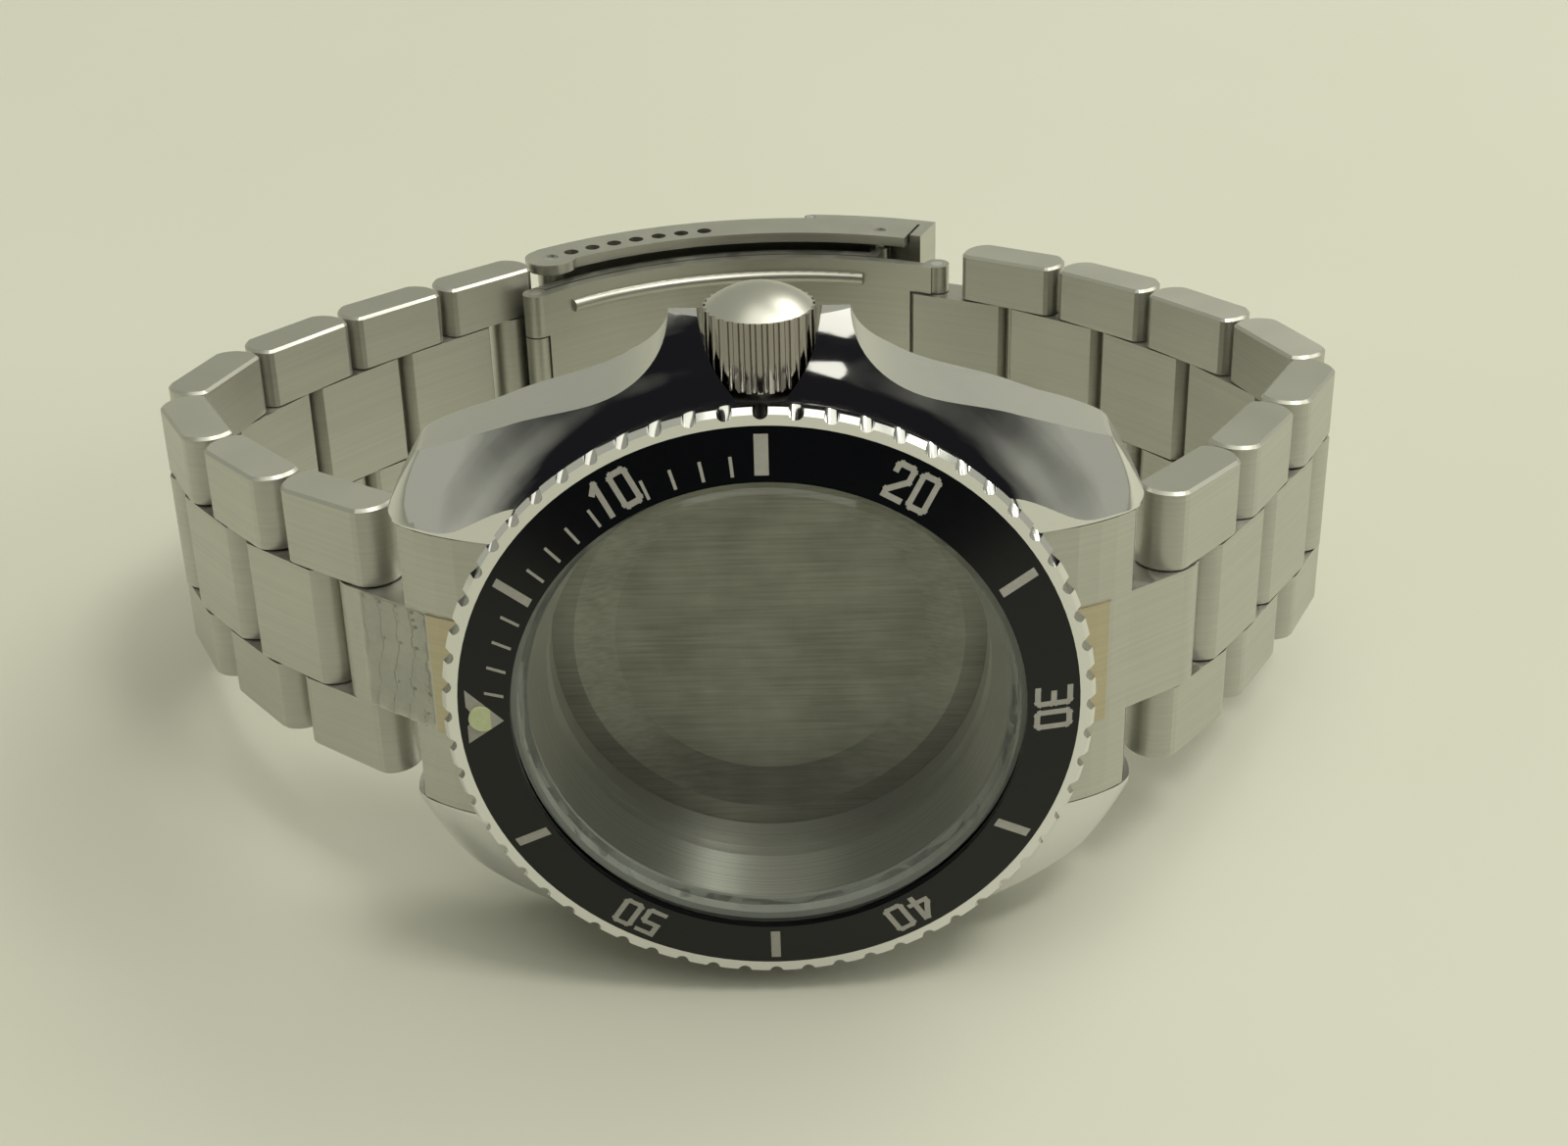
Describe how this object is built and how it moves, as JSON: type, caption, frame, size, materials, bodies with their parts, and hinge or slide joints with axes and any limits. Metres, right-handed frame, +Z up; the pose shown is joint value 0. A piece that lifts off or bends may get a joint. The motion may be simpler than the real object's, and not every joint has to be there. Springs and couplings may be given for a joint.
{
  "type": "watch case with bracelet",
  "caption": "Empty diver's watch case with rotating numbered bezel, screw crown, screwed back and a closed three-row link bracelet with folding clasp.",
  "frame": {"origin": "centre of the bounding box at its lowest height, where the standing watch touches the table", "axes": "+Z up, +X from the 12 o'clock lugs to the 6 o'clock lugs, -Y the side the crystal faces, tipped up a little"},
  "size_m": [0.083, 0.0728, 0.045],
  "materials": {
    "satin_steel": "satin brushed",
    "polished_steel": "polished",
    "spring_steel": "plain drawn",
    "black_insert": "glossy black anodised",
    "lume": "pale green",
    "sapphire": "clear",
    "nylon": "milky",
    "seal": "matt"
  },
  "bodies": {
    "case": {"mid_case": "polished_steel", "crown_tube": "satin_steel", "crystal": "sapphire", "crystal_gasket": "nylon", "rehaut_ring": "satin_steel", "bezel_wire": "spring_steel", "end_link_12": "satin_steel", "end_link_6": "satin_steel", "spring_bar_12": "spring_steel", "spring_bar_6": "spring_steel", "end_pin_6": "spring_steel"},
    "bezel": {"bezel_ring": "polished_steel", "bezel_insert": "black_insert", "lume_pip": "lume"},
    "crown_seal": {"crown_gasket": "seal"},
    "crown": {"crown": "polished_steel"},
    "back_seal": {"caseback_gasket": "seal"},
    "caseback": {"caseback": "satin_steel"},
    "cover": {"clasp_cover": "satin_steel", "clasp_spring_bar": "spring_steel", "cover_pin": "spring_steel", "lock_pin": "spring_steel"},
    "lock": {"safety_lock": "satin_steel"},
    "long_blade": {"blade_outer": "satin_steel"},
    "short_blade": {"blade_inner": "satin_steel", "fold_pin": "spring_steel", "far_pin": "spring_steel"},
    "outer_12_1": {"outer_link_12_1": "satin_steel"},
    "centre_12_1": {"centre_link_12_1": "satin_steel"},
    "outer_12_2": {"outer_link_12_2": "satin_steel"},
    "centre_12_2": {"centre_link_12_2": "satin_steel"},
    "outer_12_3": {"outer_link_12_3": "satin_steel"},
    "centre_12_3": {"centre_link_12_3": "satin_steel"},
    "outer_12_4": {"outer_link_12_4": "satin_steel"},
    "centre_12_4": {"centre_link_12_4": "satin_steel"},
    "outer_12_5": {"outer_link_12_5": "satin_steel"},
    "centre_12_5": {"centre_link_12_5": "satin_steel"},
    "outer_12_6": {"outer_link_12_6": "satin_steel"},
    "centre_12_6": {"centre_link_12_6": "satin_steel"},
    "outer_12_7": {"outer_link_12_7": "satin_steel"},
    "centre_12_7": {"centre_link_12_7": "satin_steel"},
    "centre_6_7": {"centre_link_6_7": "satin_steel"},
    "outer_6_7": {"outer_link_6_7": "satin_steel"},
    "centre_6_6": {"centre_link_6_6": "satin_steel"},
    "outer_6_6": {"outer_link_6_6": "satin_steel"},
    "centre_6_5": {"centre_link_6_5": "satin_steel"},
    "outer_6_5": {"outer_link_6_5": "satin_steel"},
    "centre_6_4": {"centre_link_6_4": "satin_steel"},
    "outer_6_4": {"outer_link_6_4": "satin_steel"},
    "centre_6_3": {"centre_link_6_3": "satin_steel"},
    "outer_6_3": {"outer_link_6_3": "satin_steel"},
    "centre_6_2": {"centre_link_6_2": "satin_steel"},
    "outer_6_2": {"outer_link_6_2": "satin_steel"},
    "centre_6_1": {"centre_link_6_1": "satin_steel"},
    "outer_6_1": {"outer_link_6_1": "satin_steel"}
  },
  "joints": [
    {"name": "bezel_turn", "type": "hinge", "parent": "case", "child": "bezel", "pos_m": [0.00136, -0.03142, 0.02123], "axis": [0, 0.9801, -0.1984], "continuous": true},
    {"name": "crown_pull", "type": "slide", "parent": "case", "child": "crown_seal", "axis": [0, 0.1984, 0.9801], "range_m": [0, 0.002]},
    {"name": "crown_turn", "type": "hinge", "parent": "crown_seal", "child": "crown", "pos_m": [0.00136, -0.02228, 0.03943], "axis": [0, 0.1984, 0.9801], "continuous": true},
    {"name": "caseback_lift", "type": "slide", "parent": "case", "child": "back_seal", "axis": [0, 0.9801, -0.1984], "range_m": [0, 0.012]},
    {"name": "caseback_turn", "type": "hinge", "parent": "back_seal", "child": "caseback", "pos_m": [0.00136, -0.0224, 0.01941], "axis": [0, 0.9801, -0.1984], "continuous": true},
    {"name": "outer_12_1_hinge", "type": "hinge", "parent": "case", "child": "outer_12_1", "pos_m": [-0.02424, -0.02162, 0.01925], "axis": [0, 0.1984, 0.9801], "range_deg": [0, 24]},
    {"name": "centre_12_1_hinge", "type": "hinge", "parent": "outer_12_1", "child": "centre_12_1", "pos_m": [-0.02788, -0.01903, 0.01872], "axis": [0, 0.1984, 0.9801], "range_deg": [0, 9]},
    {"name": "outer_12_2_hinge", "type": "hinge", "parent": "centre_12_1", "child": "outer_12_2", "pos_m": [-0.03133, -0.01619, 0.01815], "axis": [0, 0.1984, 0.9801], "range_deg": [0, 15]},
    {"name": "centre_12_2_hinge", "type": "hinge", "parent": "outer_12_2", "child": "centre_12_2", "pos_m": [-0.03422, -0.01281, 0.01747], "axis": [0, 0.1984, 0.9801], "range_deg": [0, 7]},
    {"name": "outer_12_3_hinge", "type": "hinge", "parent": "centre_12_2", "child": "outer_12_3", "pos_m": [-0.03699, -0.00934, 0.01676], "axis": [0, 0.1984, 0.9801], "range_deg": [0, 16]},
    {"name": "centre_12_3_hinge", "type": "hinge", "parent": "outer_12_3", "child": "centre_12_3", "pos_m": [-0.03903, -0.00541, 0.01597], "axis": [0, 0.1984, 0.9801], "range_deg": [0, 27]},
    {"name": "outer_12_4_hinge", "type": "hinge", "parent": "centre_12_3", "child": "outer_12_4", "pos_m": [-0.03942, -0.00101, 0.01508], "axis": [0, 0.1984, 0.9801], "range_deg": [0, 29]},
    {"name": "centre_12_4_hinge", "type": "hinge", "parent": "outer_12_4", "child": "centre_12_4", "pos_m": [-0.03796, 0.00316, 0.01423], "axis": [0, 0.1984, 0.9801], "range_deg": [0, 17]},
    {"name": "outer_12_5_hinge", "type": "hinge", "parent": "centre_12_4", "child": "outer_12_5", "pos_m": [-0.03564, 0.00694, 0.01347], "axis": [0, 0.1984, 0.9801], "range_deg": [0, 12]},
    {"name": "centre_12_5_hinge", "type": "hinge", "parent": "outer_12_5", "child": "centre_12_5", "pos_m": [-0.03287, 0.01041, 0.01276], "axis": [0, 0.1984, 0.9801], "range_deg": [0, 8]},
    {"name": "outer_12_6_hinge", "type": "hinge", "parent": "centre_12_5", "child": "outer_12_6", "pos_m": [-0.02992, 0.01374, 0.01209], "axis": [0, 0.1984, 0.9801], "range_deg": [0, 9]},
    {"name": "centre_12_6_hinge", "type": "hinge", "parent": "outer_12_6", "child": "centre_12_6", "pos_m": [-0.02674, 0.01686, 0.01146], "axis": [0, 0.1984, 0.9801], "range_deg": [0, 7]},
    {"name": "outer_12_7_hinge", "type": "hinge", "parent": "centre_12_6", "child": "outer_12_7", "pos_m": [-0.02345, 0.01987, 0.01085], "axis": [0, 0.1984, 0.9801], "range_deg": [0, 5]},
    {"name": "centre_12_7_hinge", "type": "hinge", "parent": "outer_12_7", "child": "centre_12_7", "pos_m": [-0.02015, 0.02288, 0.01024], "axis": [0, 0.1984, 0.9801], "range_deg": [0, 10]},
    {"name": "cover_swing", "type": "hinge", "parent": "centre_12_7", "child": "cover", "pos_m": [-0.01661, 0.02559, 0.00969], "axis": [0, 0.1984, 0.9801], "range_deg": [0, 45]},
    {"name": "safety_lock_flip", "type": "hinge", "parent": "cover", "child": "lock", "pos_m": [0.00474, 0.03422, 0.00795], "axis": [0, 0.1984, 0.9801], "range_deg": [0, 100]},
    {"name": "clasp_unfold", "type": "hinge", "parent": "cover", "child": "long_blade", "pos_m": [0.01053, 0.03033, 0.00873], "axis": [0, 0.1984, 0.9801], "range_deg": [0, 90]},
    {"name": "blade_unfold", "type": "hinge", "parent": "long_blade", "child": "short_blade", "pos_m": [-0.01757, 0.02119, 0.01058], "axis": [0, -0.1984, -0.9801], "range_deg": [0, 90]},
    {"name": "centre_6_7_hinge", "type": "hinge", "parent": "short_blade", "child": "centre_6_7", "pos_m": [0.01504, 0.02591, 0.00963], "axis": [0, 0.1984, 0.9801], "range_deg": [0, 20]},
    {"name": "outer_6_7_hinge", "type": "hinge", "parent": "centre_6_7", "child": "outer_6_7", "pos_m": [0.01912, 0.02405, 0.01001], "axis": [0, 0.1984, 0.9801], "range_deg": [0, 13]},
    {"name": "centre_6_6_hinge", "type": "hinge", "parent": "outer_6_7", "child": "centre_6_6", "pos_m": [0.0229, 0.02164, 0.01049], "axis": [0, 0.1984, 0.9801], "range_deg": [0, 10]},
    {"name": "outer_6_6_hinge", "type": "hinge", "parent": "centre_6_6", "child": "outer_6_6", "pos_m": [0.02644, 0.01893, 0.01104], "axis": [0, 0.1984, 0.9801], "range_deg": [0, 11]},
    {"name": "centre_6_5_hinge", "type": "hinge", "parent": "outer_6_6", "child": "centre_6_5", "pos_m": [0.02968, 0.01586, 0.01166], "axis": [0, 0.1984, 0.9801], "range_deg": [0, 10]},
    {"name": "outer_6_5_hinge", "type": "hinge", "parent": "centre_6_5", "child": "outer_6_5", "pos_m": [0.03263, 0.01254, 0.01233], "axis": [0, 0.1984, 0.9801], "range_deg": [0, 8]},
    {"name": "centre_6_4_hinge", "type": "hinge", "parent": "outer_6_5", "child": "centre_6_4", "pos_m": [0.0354, 0.00906, 0.01304], "axis": [0, 0.1984, 0.9801], "range_deg": [0, 12]},
    {"name": "outer_6_4_hinge", "type": "hinge", "parent": "centre_6_4", "child": "outer_6_4", "pos_m": [0.03772, 0.00528, 0.0138], "axis": [0, 0.1984, 0.9801], "range_deg": [0, 14]},
    {"name": "centre_6_3_hinge", "type": "hinge", "parent": "outer_6_4", "child": "centre_6_3", "pos_m": [0.0394, 0.00119, 0.01463], "axis": [0, 0.1984, 0.9801], "range_deg": [0, 29]},
    {"name": "outer_6_3_hinge", "type": "hinge", "parent": "centre_6_3", "child": "outer_6_3", "pos_m": [0.03925, -0.00322, 0.01552], "axis": [0, 0.1984, 0.9801], "range_deg": [0, 30]},
    {"name": "centre_6_2_hinge", "type": "hinge", "parent": "outer_6_3", "child": "centre_6_2", "pos_m": [0.0372, -0.00715, 0.01632], "axis": [0, 0.1984, 0.9801], "range_deg": [0, 11]},
    {"name": "outer_6_2_hinge", "type": "hinge", "parent": "centre_6_2", "child": "outer_6_2", "pos_m": [0.03475, -0.01085, 0.01707], "axis": [0, 0.1984, 0.9801], "range_deg": [0, 7]},
    {"name": "centre_6_1_hinge", "type": "hinge", "parent": "outer_6_2", "child": "centre_6_1", "pos_m": [0.03244, -0.01463, 0.01783], "axis": [0, 0.1984, 0.9801], "range_deg": [0, 9]},
    {"name": "outer_6_1_hinge", "type": "hinge", "parent": "centre_6_1", "child": "outer_6_1", "pos_m": [0.02985, -0.01824, 0.01856], "axis": [0, 0.1984, 0.9801], "range_deg": [0, 10]}
  ],
  "couplings": [
    {"joint": "clasp_unfold", "follows": "cover_swing", "ratio": 2},
    {"joint": "blade_unfold", "follows": "cover_swing", "ratio": 2}
  ]
}
